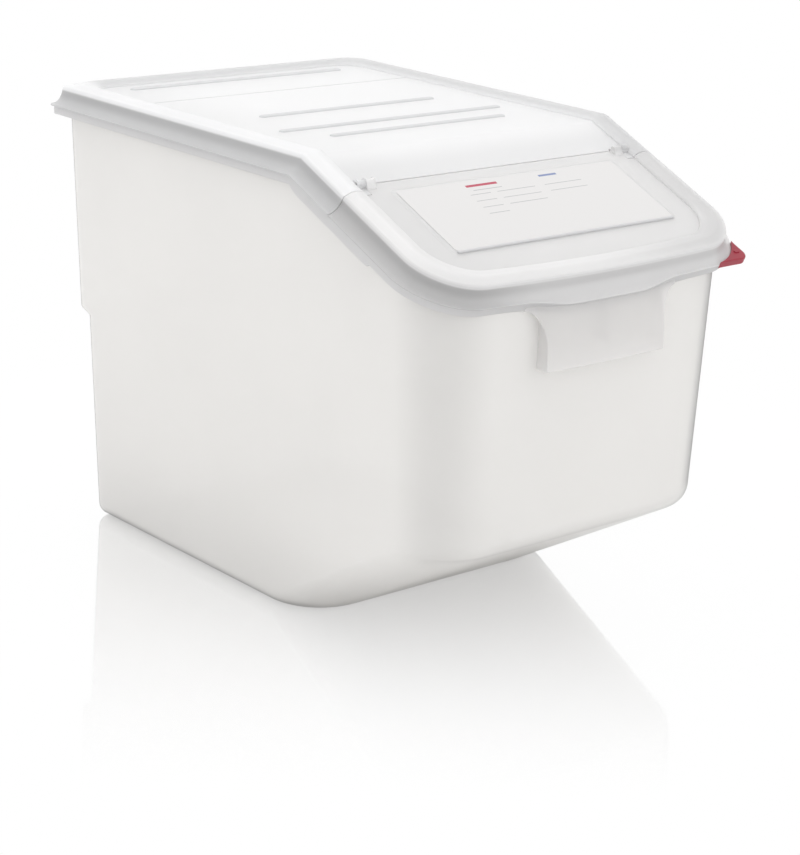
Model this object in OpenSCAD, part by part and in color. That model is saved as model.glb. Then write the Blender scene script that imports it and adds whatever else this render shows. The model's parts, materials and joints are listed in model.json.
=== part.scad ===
// Food-storage bin with a sloping front, a lift-off rear lid, a flip-up
// front flap and a slide-on colour clip. All sizes are in millimetres.
// X is the width, the front faces -Y, Z is up, and the origin is at the
// middle of the footprint on the floor.

/* [Lid] */
// Width of the lid over its two side lips
lid_w = 400; // [380:1:430]
// Height of the flat edge of the rail above the floor
rail_z = 448; // [430:1:470]
// Distance from the middle of the bin back to the edge of the rail
rear_y = 294; // [280:1:320]
// Position of the bend between the flat top and the slope
bend_y = -97.5; // [-110:0.5:-80]
// Angle of the slope below the horizontal, in degrees
slope = 23.3; // [20:0.1:27]
// Length of the slope from the bend to the front edge of the rail
slope_l = 206; // [195:1:220]
// How far the front edge bows out at its middle
bow = 8; // [0:0.5:12]
// Thickness of the moulded lid skin
skin = 2.2; // [1.8:0.1:2.6]

/* [Rail of the lid] */
// How far the lip stands out from the edge of the rail
cove_out = 11.4; // [9:0.1:14]
// Depth of the hollow cove below the edge of the rail
cove_drop = 17; // [14:0.5:20]
// Thickness of the lip at its free edge
lip_t = 1.5; // [1.2:0.1:2]
// Height of the rounded bead above the edge of the rail
bead_h = 4.2; // [3:0.1:6]
// Distance from the edge of the rail in to the panel, at the sides
border_w = 24; // [20:0.5:30]
// The same distance at the front and the back
border_end = 20; // [17:0.5:26]
// Depth of the panel below the edge of the rail
panel_drop = 2; // [1:0.1:3]
// Corner radius of the rail edge at the front
rail_r = 52; // [40:1:65]
// Corner radius of the bead at the back
bead_r = 30; // [22:1:36]
// How far the thumb tab in the front lip stands out
tab_out = 6; // [3:0.5:9]

/* [Ribs and label] */
// Width of the stiffening ribs on the top panel
rib_w = 8; // [5:0.5:12]
// Height of the stiffening ribs
rib_h = 1.8; // [1:0.1:2.5]
// Width of the write-on label
label_w = 264; // [200:1:270]
// Height of the write-on label, measured down the slope
label_h = 91; // [60:1:92]
// Distance from the bend down to the top of the label
label_s = 67; // [66:1:72]

/* [Hinge] */
// Diameter of the two stub pins of the flap
pin_d = 4; // [3.6:0.1:4.4]
// Play all round a stub pin in its bore
pin_play = 0.1; // [0.05:0.01:0.1]
// Distance of the hinge axis below the bend, down the slope
hinge_s = 52; // [50:0.5:54]
// Height of the hinge axis above the edge of the rail
hinge_n = 0.6; // [0.4:0.1:1]
// Half the distance between the inner faces of the two lugs
lug_x = 157; // [150:0.5:158]
// Thickness of each lug
lug_t = 9; // [8:0.5:10]

/* [Bin body] */
// Thickness of the body wall
wall = 3; // [2.5:0.1:4]
// Half the width of the body at the floor
foot_hw = 164.5; // [155:0.5:170]
// Half the width of the body just under the lid
top_hw = 187; // [182:0.5:188]
// Front edge of the flat floor
floor_front_y = -91; // [-120:1:-60]
// Outer face of the front wall
front_y = -286; // [-288:0.5:-282]
// Height at which the sloping underside meets the front wall
foot_z = 118; // [90:1:150]
// Outer face of the lower rear wall
rear_low_y = 270; // [262:0.5:276]
// Outer face of the upper rear wall
rear_top_y = 285; // [282:0.5:286]
// Height of the step in the rear wall
step_z = 217; // [180:1:260]
// Radius of the upright corners at the front
front_r = 62; // [50:1:70]
// Radius of the upright corners at the back
back_r = 11; // [8:0.5:20]
// Radius of the rounding along the floor
floor_r = 8; // [6:0.5:12]

/* [Front handle] */
// Half the width of the pull handle at its lower edge
pull_hw = 72; // [60:1:76]
// Lower edge of the pull handle
pull_z = 281; // [270:1:295]
// Front face of the pull handle at the middle of its lower edge
pull_y = -302; // [-304:0.5:-299]
// Thickness of the handle walls
pull_t = 2.6; // [2:0.1:3]

/* [Hidden] */
big = 400;                        // larger than half of any part, for cutting blocks
overlap = 0.2;                    // depth by which joined forms run into each other
arc_f = 10;                       // steps in a front corner
arc_r = 5;                        // steps in a rear corner
front_n = 16;                     // steps along the front edge
bead_n = 9;                       // steps over the bead
cove_n = 6;                       // steps down the cove

// The lid and the rim that carries it
rail_hw = lid_w / 2 - cove_out;   // half width at the edge of the rail
end_k = 0.7;                      // flare of the lip at the ends, against the sides
lip_n = -cove_drop - lip_t;       // lower edge of the lip
seat = 0.4;                       // gap between the lid and the rim that carries it
rim_top = -skin - seat;           // top of the rim of the body
ledge_n = lip_n - seat;           // top of the ledge that the lip sits on
ledge_t = 2.5;                    // thickness of the ledge and of the skirt
ledge_out = cove_out - 2.5;       // reach of the ledge beyond the rail edge
skirt_n = ledge_n - 7.6;          // lower edge of the skirt
skirt_low = skirt_n - 3.5;        // the same beside the hinge and at the handle
skirt_s = 126;                    // where the deep part of the side skirt ends
thumb_half = 40;                  // half width of the full thumb tab
thumb_run = 55;                   // length over which the tab fades out
tab_drop = 3;                     // how far the tab dips below the lip

// Top panel
rib_at = [[253, 266], [72, 216], [4, 272], [-35, 214]];   // place and length of each rib
line_y = 180;                     // place of the thin line across the panel
line_w = 1.4;                     // width of that line
line_d = 0.6;                     // depth of that line

// Hinge
split_gap = 1.5;                  // gap between the two rails at the hinge
panel_gap = 1.6;                  // gap between the two panels at the hinge
panel_end = hinge_s - 2.4;        // where the panel of the rear lid ends
rail_end = hinge_s + 13;          // where the rail of the rear lid ends
lug_r = 3.6;                      // radius of the eye round a hinge bore
knuckle_r = 3.4;                  // radius of a knuckle on the flap
knuckle_w = 10;                   // width of a knuckle on the flap
side_gap = 0.4;                   // gap between flap and lid beside the lugs
pin_root = 2;                     // length of a pin inside its knuckle
pin_reach = 6.2;                  // length of a pin inside its lug
bore_end = 0.4;                   // room beyond the end of a pin

// Label
plateau_h = 1;                    // height of the pad under the label
label_t = 0.35;                   // thickness of the label
label_m = 1.5;                    // margin of the pad round the label

// Body
step_rise = 8;                    // height of the sloping ledge in the rear wall
foot_r = 20;                      // rounding between the front wall and the underside
draft = (top_hw - foot_hw) / (rail_z - 27);
ramp = atan2(foot_z, floor_front_y - front_y);
wall_out = 3.6;                   // distance of the rim wall inside the rail edge

// Pull handle
flare = 20;                       // how far the handle widens up to the skirt
flare_from = 0.42;                // share of the height at which it starts to widen
pull_bow = 2.5;                   // how far the lower edge of the handle bows out
pull_n = skirt_n + 3;             // where its front runs into the skirt
web_t = 2.4;                      // thickness of the web behind its middle
web_z = 18;                       // height of the web above the lower edge

// Colour clip
clip_x = rail_hw - 0.6;           // its outer side
clip_s = slope_l + 11;            // its front, down the slope
clip_r = 9;                       // radius of its free corner
clip_high = -14.5;                // its top face
clip_low = ledge_n - 2.4;         // its lower face
clip_fit = 0.15;                  // play between the clip and the lip

// Points on the bent sheet of the lid: x is the width, v the distance up the
// slope from the bend, and n the distance out of the sheet. The bend is a mitre.
function fold(x, v, n) =
    v > 0.01 ? [x, bend_y + v, rail_z + n] :
    v < -0.01 ? [x, bend_y + v * cos(slope) - n * sin(slope),
                 rail_z + v * sin(slope) + n * cos(slope)] :
    [x, bend_y - n * tan(slope / 2), rail_z + n];

// How much of the bow and of the thumb tab a point takes
function front_share(v, sf, rf) = max(0, min(1, (-v - (sf - rf)) / rf));
function thumb(x) = abs(x) < thumb_half ? 1 :
    abs(x) > thumb_half + thumb_run ? 0 :
    (1 + cos(180 * (abs(x) - thumb_half) / thumb_run)) / 2;
function bulge(x, half, tab) = bow * (1 - pow(x / half, 2)) + tab * tab_out * thumb(x);

// A ring is one line of the profile carried round the rail:
// [half width, back, front, rear radius, front radius, height, tab share]
function arc_points(cx, cy, r, from, steps) =
    [for (i = [0:steps]) let (t = from + 90 * i / steps) [cx + r * cos(t), cy + r * sin(t)]];
function plan(r, sides) = concat(
    arc_points(-r[0] + r[3], r[1] - r[3], r[3], 90, arc_r),
    [for (v = sides) [-r[0], v]],
    arc_points(-r[0] + r[4], -r[2] + r[4], r[4], 180, arc_f),
    [for (i = [1:front_n - 1]) [(r[0] - r[4]) * (2 * i / front_n - 1), -r[2]]],
    arc_points(r[0] - r[4], -r[2] + r[4], r[4], 270, arc_f),
    [for (i = [len(sides) - 1:-1:0]) [r[0], sides[i]]],
    arc_points(r[0] - r[3], r[1] - r[3], r[3], 0, arc_r));
function plan_count(sides) = 2 * (arc_r + 1) + 2 * len(sides) + 2 * (arc_f + 1) + front_n - 1;

// The same ring with the bowed front and the thumb tab, then on the bent sheet
function bowed(r, sides) = [for (p = plan(r, sides))
    [p[0], p[1] - front_share(p[1], r[2], r[4]) * bulge(p[0], r[0], r[6])]];
function dip(r, p) = r[6] * tab_drop * thumb(p[0]) * front_share(p[1], r[2], r[4]);
function lifted(r, sides) = [for (p = bowed(r, sides)) fold(p[0], p[1], r[5] - dip(r, p))];

// Profile ring of the lid at distance w outside the rail edge and height n
function rear_radius(w) = w > -3 ? 4 + 6 * max(w, 0) / cove_out : bead_r + 0.3 * (w + 5);
function end_offset(w) = w > 0 ? end_k * w : w * border_end / border_w;
function lid_ring(w, n, tab = 0) = [rail_hw + w, rear_y - bend_y + end_offset(w),
    slope_l + end_offset(w), rear_radius(w),
    rail_r + (w > 0 ? end_k : 0.5) * w, n, tab];

// Bead: a rounded wave from the panel up and over to the rail edge
bead_in = -border_w;
bead_end = -5;
bead_low = 0.6;
function bead_w(a, in) = (bead_in + bead_end) / 2 - ((bead_end - bead_in) / 2 - in) * cos(a);
function bead_z(a) = let (base = panel_drop * (1 - a / 180))
    -base + (bead_h + base) * pow(sin(a), 0.7);

// Cove: a quarter ellipse, upright at the rail edge and flat at the lip
function cove_w(t) = cove_out * (1 - cos(t));
function cove_z(t) = -cove_drop * sin(t);
function tab_share(t) = max(0, (t - 40) / 50);

lid_rings = concat(
    [for (i = [0:bead_n]) let (a = 180 * i / bead_n) lid_ring(bead_w(a, 0), bead_z(a))],
    [lid_ring(-bead_low, 0)],
    [for (i = [0:cove_n]) let (t = 90 * i / cove_n)
        lid_ring(cove_w(t), cove_z(t) - (i == 0 ? bead_low : 0), tab_share(t))],
    [lid_ring(cove_out, lip_n, 1)],
    [lid_ring(cove_out - lip_t, lip_n, 1)],
    [for (i = [cove_n - 1:-1:1]) let (t = 90 * i / cove_n)
        lid_ring(cove_w(t) - skin * cos(t), cove_z(t) - skin * sin(t), tab_share(t))],
    [lid_ring(-skin - overlap, -skin)],
    [for (i = [bead_n:-1:0]) let (a = 180 * i / bead_n)
        lid_ring(bead_w(a, skin * 0.9), bead_z(a) - skin)]);

// Faces of the wall between two rings of n points that start at a and b
function band(a, b, n) = [for (j = [0:n - 1]) let (k = (j + 1) % n)
    each [[a + j, a + k, b + k], [a + j, b + k, b + j]]];

// Solid through a stack of rings, with caps that bend along the lid's bend
module capped(rings, sides) {
    n = plan_count(sides);
    m = len(rings);
    left = arc_r + 1;
    right = n - 2 - arc_r;
    rear = concat([for (j = [right:n - 1]) j], [for (j = [0:left]) j]);
    front = [for (j = [left:right]) j];
    caps = [[for (i = [len(rear) - 1:-1:0]) rear[i]],
            [for (i = [len(front) - 1:-1:0]) front[i]],
            [for (i = rear) (m - 1) * n + i],
            [for (i = front) (m - 1) * n + i]];
    polyhedron(
        points = [for (g = rings) each lifted(g, sides)],
        faces = concat([for (i = [0:m - 2]) each band(i * n, (i + 1) * n, n)], caps));
}

// The skirt of the body hangs lower beside the hinge and at the handle
function skirt_at(x, v, k) = (v < -1 && v > -skirt_s - 1) ? skirt_low :
    k > 0.9 ? skirt_n + (skirt_low - skirt_n) * thumb(x * 0.8) : skirt_n;
function skirted(r, sides) = [for (p = bowed(r, sides))
    fold(p[0], p[1], r[5] > skirt_n + 2 ? r[5] - dip(r, p) :
        r[5] - skirt_n + skirt_at(p[0], p[1], front_share(p[1], r[2], r[4])))];

// Closed band through a loop of rings
module looped(rings, sides) {
    n = plan_count(sides);
    m = len(rings);
    polyhedron(
        points = [for (g = rings) each skirted(g, sides)],
        faces = [for (i = [0:m - 1]) each band(i * n, ((i + 1) % m) * n, n)]);
}

// Frame whose +Y runs up the slope and whose +Z stands out of it
module on_slope() translate([0, bend_y, rail_z]) rotate([slope, 0, 0]) children();

// Frame whose +Z runs along the hinge axis
module at_hinge() on_slope() translate([0, -hinge_s, hinge_n]) rotate([0, 90, 0]) children();

// Rounded bar across the bin
module bar(len, w, h) linear_extrude(h) union() {
    square([len - w, w], center = true);
    for (side = [-1, 1])
        translate([side * (len - w) / 2, 0]) circle(d = w, $fn = 32);
}

module soft_rect(w, h, r) union() {
    square([w - 2 * r, h], center = true);
    square([w, h - 2 * r], center = true);
    for (x = [-1, 1])
        for (y = [-1, 1])
            translate([x * (w / 2 - r), y * (h / 2 - r)]) circle(r = r, $fn = 32);
}

// One level of the body: a thin slice, inset inside the outer face
function half_w(z) = foot_hw + draft * z;
module level(z, front, back, inset, corner = front_r) {
    w = half_w(z) - inset;
    f = max(corner - inset, 4);
    b = max(back_r - inset, 3);
    rear = back - inset;
    translate([0, 0, z]) linear_extrude(0.01) polygon(concat(
        arc_points(-w + b, rear - b, b, 90, arc_r),
        arc_points(-w + f, front + f, f, 180, arc_f),
        arc_points(w - f, front + f, f, 270, arc_f),
        arc_points(w - b, rear - b, b, 0, arc_r)));
}

// The body as a solid block, t inside its outer face: the first hull has the
// floor and the sloping underside, the second the deeper upper rear wall
module hull_block(t) {
    low_r = max(floor_r - t, 4);
    high_r = foot_r - t;
    high_z = foot_z + t * 1.07 + high_r * tan((90 - ramp) / 2);
    hull() {
        for (a = [0:30:90])
            level(t + low_r * (1 - cos(a)), floor_front_y + low_r * (1 - sin(a)) + 0.28 * t,
                rear_low_y, t + low_r * (1 - sin(a)));
        for (i = [0:3])
            let (a = i * (90 - ramp) / 3)
                level(high_z - high_r * sin(a), front_y + t + high_r * (1 - cos(a)), rear_low_y, t);
        level(rail_z + 20, front_y + t, rear_low_y, t);
    }
    hull() {
        level(step_z + 0.4 * t, 0, rear_low_y, t, 4);
        level(step_z + step_rise + 0.4 * t, 0, rear_top_y, t, 4);
        level(rail_z + 20, 0, rear_top_y, t, 4);
    }
}

// Everything above the bent sheet at height n
module above(n) {
    far = fold(0, -big, n);
    bend = fold(0, 0, n);
    rotate([90, 0, 90]) translate([0, 0, -big]) linear_extrude(2 * big) polygon([
        [far[1], far[2]], [bend[1], bend[2]], [big, bend[2]],
        [big, rail_z + 60], [far[1], rail_z + 60]]);
}

// Rim: a thin upright wall, the ledge under the lip and the skirt. w is the
// reach at the sides, back and front the reach at the ends.
rim_back = rear_y - rear_top_y;
function rim_ring(w, back, front, n, tab = 0) = [rail_hw + w, rear_y - bend_y + back,
    slope_l + front, w > 0 ? 4 + 0.7 * w : 10 + w / 2,
    rail_r + (w > 0 ? end_k : 0.5) * w, n, tab];
function skirt_ring(in, n) = rim_ring(ledge_out - in, end_k * ledge_out - in,
    end_k * ledge_out - in, n, 1);
round_r = 0.9;                    // rounding of the edges of the ledge and skirt
rim_rings = [
    rim_ring(-wall_out - wall, -rim_back - wall, -wall_out - wall + 1, rim_top),
    rim_ring(-wall_out, -rim_back, -wall_out + 1, rim_top),
    rim_ring(-wall_out + 0.8, -rim_back, -wall_out + 1.6, rim_top - 8),
    rim_ring(-1, -rim_back + 1, -1, ledge_n),
    skirt_ring(round_r, ledge_n),
    skirt_ring(0, ledge_n - round_r),
    skirt_ring(0, skirt_n + round_r),
    skirt_ring(round_r, skirt_n),
    skirt_ring(ledge_t, skirt_n),
    skirt_ring(ledge_t + overlap, ledge_n - ledge_t),
    rim_ring(-wall_out - wall, -rim_back - wall, -wall_out - wall + 1, ledge_n - ledge_t)];

// Pull handle: a sheet that leans out from the skirt down to its lower edge
// and flares out sideways at the top, with a web at each end and the middle.
// u runs from -1 to 1 across it and w from 0 at its lower edge to 1.
pull_steps = 12;
pull_levels = [0, flare_from, 0.6, 0.72, 0.82, 0.89, 0.93, 1];
function pull_half(w) = let (t = max(0, min(1, (w - flare_from) / (0.93 - flare_from))))
    pull_hw + flare * (1 - sqrt(1 - t * t));
function pull_foot(x) = pull_y + pull_bow * pow(x / pull_hw, 2);
function pull_head(x) = fold(x,
    -slope_l - end_k * ledge_out - bulge(x, rail_hw + ledge_out, 1) + overlap, pull_n);
function pull_sheet_y(x, w) = pull_foot(x) + (pull_head(x)[1] - pull_foot(x)) * pow(w, 2.5);
function pull_point(u, w) = let (
        x = u * pull_half(w),
        in = min(abs(x), pull_hw),
        out = (abs(x) - in) / flare,
        y = pull_sheet_y(in, w))
    [x, y + (pull_head(pull_hw + flare)[1] - y) * out, pull_z + w * (pull_head(x)[2] - pull_z)];

function sheet_faces(o, rows, row) = [for (i = [0:rows - 2]) for (j = [0:row - 2])
    let (a = o + i * row + j, b = a + row)
    each [[a, b, b + 1], [a, b + 1, a + 1]]];
function turned(faces) = [for (f = faces) [f[0], f[2], f[1]]];

module pull_sheet() {
    row = pull_steps + 1;
    rows = len(pull_levels);
    face = [for (w = pull_levels) for (i = [0:pull_steps]) pull_point(2 * i / pull_steps - 1, w)];
    points = concat(face, [for (p = face) p + [0, pull_t, 0]]);
    back = rows * row;
    edge = concat(
        [for (j = [0:pull_steps]) j],
        [for (i = [1:rows - 1]) i * row + pull_steps],
        [for (j = [pull_steps - 1:-1:0]) (rows - 1) * row + j],
        [for (i = [rows - 2:-1:1]) i * row]);
    sides = [for (i = [0:len(edge) - 1]) let (a = edge[i], b = edge[(i + 1) % len(edge)])
        each [[a, b, b + back], [a, b + back, a + back]]];
    polyhedron(points = points,
        faces = concat(sheet_faces(0, rows, row), turned(sheet_faces(back, rows, row)), sides));
}

// One web from the wall out to the sheet, as wide as t and from height z up
module pull_web(x, t, z) {
    w0 = (z - pull_z) / (pull_head(x)[2] - pull_z);
    top = 0.96;
    rotate([90, 0, 90]) translate([0, 0, x - t / 2]) linear_extrude(t) polygon(concat(
        [[front_y + 1, pull_z + w0 * (pull_head(x)[2] - pull_z)]],
        [for (i = [0:6]) let (w = w0 + (top - w0) * i / 6)
            [pull_sheet_y(x, w) + pull_t / 2, pull_z + w * (pull_head(x)[2] - pull_z)]],
        [[front_y + 1, pull_z + top * (pull_head(x)[2] - pull_z)]]));
}

module pull_handle() {
    pull_sheet();
    for (side = [-1, 1])
        pull_web(side * (pull_hw - pull_t / 2), pull_t, pull_z);
    pull_web(0, web_t, pull_z + web_z);
}

module bin_body() color([0.93, 0.93, 0.92]) {
    difference() {
        hull_block(0);
        hull_block(wall);
        above(ledge_n - ledge_t + 0.4);
    }
    looped(rim_rings, [0, -20, -skirt_s, -skirt_s - 3]);
    pull_handle();
}

// Everything down the slope from the split between lid and flap: the panels
// part at mid, inside x, and the rails part at side
module front_of(mid, side, x) on_slope() {
    translate([-x, -big, -80]) cube([2 * x, big - mid, 160]);
    for (place = [-big, x - 0.01])
        translate([place, -big, -80]) cube([big - x + 0.01, big - side, 160]);
}

// A block on the slope from x to x + w, from s0 down the slope back up to s1
module slope_block(x, w, s0, s1, n0, n1) on_slope()
    translate([x, -s0, n0]) cube([w, s0 - s1, n1 - n0]);

module lug(x) {
    at_hinge() translate([0, 0, x]) cylinder(r = lug_r, h = lug_t, $fn = 48);
    slope_block(x, lug_t, hinge_s + lug_r, hinge_s - lug_r, -panel_drop - skin, hinge_n);
}

module rear_lid() color([0.95, 0.95, 0.96]) difference() {
    union() {
        difference() {
            capped(lid_rings, [0]);
            front_of(panel_end, rail_end, lug_x - side_gap / 4);
        }
        lug(lug_x);
        lug(-lug_x - lug_t);
        for (rib = rib_at)
            translate([0, rib[0], rail_z - panel_drop - overlap]) bar(rib[1], rib_w, rib_h + overlap);
    }
    for (x = [lug_x - 1, -lug_x - pin_reach - bore_end])
        at_hinge() translate([0, 0, x])
            cylinder(d = pin_d + 2 * pin_play, h = pin_reach + bore_end + 1, $fn = 48);
    for (x = [lug_x - knuckle_w - 1, -lug_x + side_gap / 4])
        slope_block(x, knuckle_w + 1 - side_gap / 4, hinge_s + 10, hinge_s - 5, -20, 20);
    translate([-rail_hw + border_w, line_y, rail_z - panel_drop - line_d])
        cube([2 * (rail_hw - border_w), line_w, 5]);
}

module knuckle(x) {
    at_hinge() translate([0, 0, x]) cylinder(r = knuckle_r, h = knuckle_w, $fn = 48);
    slope_block(x, knuckle_w, hinge_s + 9, hinge_s, -panel_drop - skin, hinge_n);
}

module front_flap() color([0.95, 0.95, 0.96]) {
    intersection() {
        capped(lid_rings, [0]);
        front_of(panel_end + panel_gap, rail_end + split_gap, lug_x - side_gap - 0.1);
    }
    knuckle(lug_x - side_gap - knuckle_w);
    knuckle(-lug_x + side_gap);
    for (x = [lug_x - pin_root, -lug_x - pin_reach])
        at_hinge() translate([0, 0, x]) cylinder(d = pin_d, h = pin_root + pin_reach, $fn = 48);
    on_slope() translate([0, -label_s - label_h / 2, -panel_drop - overlap])
        linear_extrude(plateau_h + overlap)
            soft_rect(label_w + 2 * label_m, label_h + 2 * label_m, 4);
}

module label_sheet() color([0.98, 0.98, 0.98]) on_slope()
    translate([0, -label_s - label_h / 2, plateau_h - panel_drop])
        linear_extrude(label_t) soft_rect(label_w, label_h, 3);

// The clip fills the square corner outside the rounded lip
module clip_outline() polygon(concat(
    [[clip_x - 44, -clip_s], [clip_x - 60, -clip_s + 30], [clip_x - 30, -clip_s + 60],
     [clip_x, -clip_s + 38]],
    [for (i = [0:8]) let (t = -90 * i / 8)
        [clip_x - clip_r + clip_r * cos(t), -clip_s + clip_r + clip_r * sin(t)]]));
module plan_area(w, low, high) translate([0, 0, low]) linear_extrude(high - low)
    polygon(bowed(lid_ring(w, 0), [0]));
module colour_clip() color([0.62, 0.06, 0.2]) on_slope() {
    difference() {
        translate([0, 0, clip_low]) linear_extrude(clip_high - clip_low) clip_outline();
        plan_area(cove_out + clip_fit, lip_n - clip_fit, 20);
        plan_area(ledge_out + 4 * clip_fit, -60, 20);
    }
    translate([clip_x - 8, -clip_s + 10.5, clip_high - overlap])
        linear_extrude(1 + overlap) soft_rect(7, 4, 1.9);
}

bin_body();
rear_lid();
front_flap();
label_sheet();
colour_clip();
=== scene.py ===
# %% [markdown]
# # A rice bin with a flip lid
# The bin is moulded in a frosted plastic that lets light through. The packed
# CAD model gives every size here: the script reads it first, dresses it with
# finer meshes and materials, and never moves it.

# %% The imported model
import json
import math

import bmesh
import bpy
import numpy as np
from mathutils import Matrix, Vector


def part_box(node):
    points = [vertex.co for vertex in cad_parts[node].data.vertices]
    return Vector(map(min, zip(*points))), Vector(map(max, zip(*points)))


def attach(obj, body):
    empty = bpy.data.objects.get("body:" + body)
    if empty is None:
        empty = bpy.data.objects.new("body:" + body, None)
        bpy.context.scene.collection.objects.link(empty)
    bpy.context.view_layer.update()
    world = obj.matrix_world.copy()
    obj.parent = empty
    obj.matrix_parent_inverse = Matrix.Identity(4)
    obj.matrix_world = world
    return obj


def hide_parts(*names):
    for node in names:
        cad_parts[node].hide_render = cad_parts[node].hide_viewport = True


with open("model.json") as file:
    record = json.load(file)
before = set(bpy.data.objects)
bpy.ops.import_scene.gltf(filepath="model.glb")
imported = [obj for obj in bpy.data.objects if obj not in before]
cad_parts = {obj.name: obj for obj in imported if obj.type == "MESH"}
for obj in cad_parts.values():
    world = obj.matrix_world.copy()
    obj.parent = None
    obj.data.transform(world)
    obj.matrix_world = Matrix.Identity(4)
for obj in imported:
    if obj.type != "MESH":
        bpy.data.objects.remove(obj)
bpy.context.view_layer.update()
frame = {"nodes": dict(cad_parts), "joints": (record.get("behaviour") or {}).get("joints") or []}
nodes = frame["nodes"]
for name, node in nodes.items():
    print(name, "has", len(node.data.polygons), "faces")


# %% [markdown]
# ## The shape of the lid
# The lid is one sheet, bent down once. It is easiest to draw flat and then to
# bend: x runs across, v runs back from the bend, and n stands out of the
# sheet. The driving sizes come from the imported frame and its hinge.

# %% Driving sizes, in metres
mm = 0.001
lid_low, lid_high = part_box("rear_lid")
flap_low, flap_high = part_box("front_flap")
body_low, body_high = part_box("bin_body")
for part, low, high in (
    ("rear lid", lid_low, lid_high), ("flap", flap_low, flap_high), ("body", body_low, body_high)
):
    print(part, "measures", [round(b - a, 4) for a, b in zip(low, high)], "m")
hinge = next(j for j in frame["joints"] if j["name"] == "flap_hinge")

slope = math.radians(23.3)
lid_half = lid_high[0]
cove_out = 11.4 * mm
cove_drop = 17.0 * mm
skin = 2.2 * mm
lip_t = 1.5 * mm
lip_n = -cove_drop - lip_t
end_share = 0.7
rail_half = lid_half - cove_out
rear_y = lid_high[1] - end_share * cove_out
hinge_s = 52.0 * mm
hinge_n = 0.6 * mm
bend_y = hinge["pos_m"][1] + hinge_s * math.cos(slope) + hinge_n * math.sin(slope)
rail_z = hinge["pos_m"][2] + hinge_s * math.sin(slope) - hinge_n * math.cos(slope)
bead_h = lid_high[2] - rail_z
slope_l = 206.0 * mm
bow = 8.0 * mm
panel_drop = 2.0 * mm
border_w = 24.0 * mm
border_end = 20.0 * mm
rail_r = 52.0 * mm
bead_r = 30.0 * mm
tab_out = 6.0 * mm
tab_drop = 3.0 * mm
thumb_half = 40.0 * mm
thumb_run = 55.0 * mm
print("rail", round(rail_half, 4), round(rail_z, 4), round(rear_y, 4), "bend", round(bend_y, 4))



# %% [markdown]
# ## Arithmetic on sockets
# A shader is a network of small steps. Written one node at a time it is long
# and hard to follow, so this class wraps an output socket and lets Python's
# own signs add the Math nodes: `1 - mask * 0.5` makes two of them. Every other
# kind of node comes from the one method `node`.


# %% A socket that can be used in sums
class Wire:
    """An output socket of a shader tree, or the tree's starting point."""

    def __init__(self, tree, socket=None):
        self.tree = tree
        self.socket = socket

    def node(self, kind, settings=None, sockets=None, output=0):
        made = self.tree.nodes.new(kind)
        for name, value in (settings or {}).items():
            if name == "stops":
                set_stops(made.color_ramp, value)
            else:
                setattr(made, name, value)
        for name, value in (sockets or {}).items():
            self.feed(made.inputs[name], value)
        return Wire(self.tree, made.outputs[output])

    def feed(self, target, value):
        if isinstance(value, Wire):
            self.tree.links.new(value.socket, target)
        else:
            target.default_value = value

    def sum(self, operation, first, second=0.0):
        return self.node("ShaderNodeMath", {"operation": operation}, {0: first, 1: second})

    def __add__(self, other):
        return self.sum("ADD", self, other)

    def __radd__(self, other):
        return self.sum("ADD", other, self)

    def __sub__(self, other):
        return self.sum("SUBTRACT", self, other)

    def __rsub__(self, other):
        return self.sum("SUBTRACT", other, self)

    def __mul__(self, other):
        return self.sum("MULTIPLY", self, other)

    def __rmul__(self, other):
        return self.sum("MULTIPLY", other, self)

    def __truediv__(self, other):
        return self.sum("DIVIDE", self, other)

    def __abs__(self):
        return self.sum("ABSOLUTE", self)

    def at_most(self, other):
        return self.sum("MINIMUM", self, other)

    def at_least(self, other):
        return self.sum("MAXIMUM", self, other)


def set_stops(ramp, stops):
    """Gives a colour ramp the stops (place, colour)."""
    while len(ramp.elements) < len(stops):
        ramp.elements.new(1.0)
    for element, (place, colour) in zip(ramp.elements, stops):
        element.position = place
        element.color = colour


# %% Colours, soft steps and noise
def grey(value):
    return (value, value, value, 1.0)


def blend_colours(low, high, share):
    """A Mix node between two colours, because a Math node would turn them grey."""
    return share.node(
        "ShaderNodeMix",
        {"data_type": "RGBA", "blend_type": "MIX"},
        {"Factor": share, 6: low, 7: high},
        output=2,
    )


def soft_step(value, start, end):
    """0 below start, 1 above end, and a smooth rise between them."""
    return value.node(
        "ShaderNodeMapRange",
        {"interpolation_type": "SMOOTHSTEP"},
        {"Value": value, "From Min": start, "From Max": end},
    )


def noise(point, scale, detail=3.0, roughness=0.5):
    return point.node(
        "ShaderNodeTexNoise",
        None,
        {"Vector": point, "Scale": scale, "Detail": detail, "Roughness": roughness},
    )


# %% [markdown]
# ## Starting a material
# Each finish starts the same way: an empty tree, one Principled shader, and the
# place on the object as a wire. Numbers that are the same all over a surface go
# straight on the shader's own sockets.


# %% One material with its shader
object_place = 3


def new_finish(name, plain):
    """A material, its Principled node, and the position in metres as a wire."""
    material = bpy.data.materials.new(name)
    material.use_nodes = True
    tree = material.node_tree
    tree.nodes.clear()
    start = Wire(tree)
    shader = tree.nodes.new("ShaderNodeBsdfPrincipled")
    output = tree.nodes.new("ShaderNodeOutputMaterial")
    tree.links.new(shader.outputs[0], output.inputs["Surface"])
    for socket, value in plain.items():
        shader.inputs[socket].default_value = value
    place = start.node("ShaderNodeTexCoord", output=object_place)
    return material, shader, place


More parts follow.
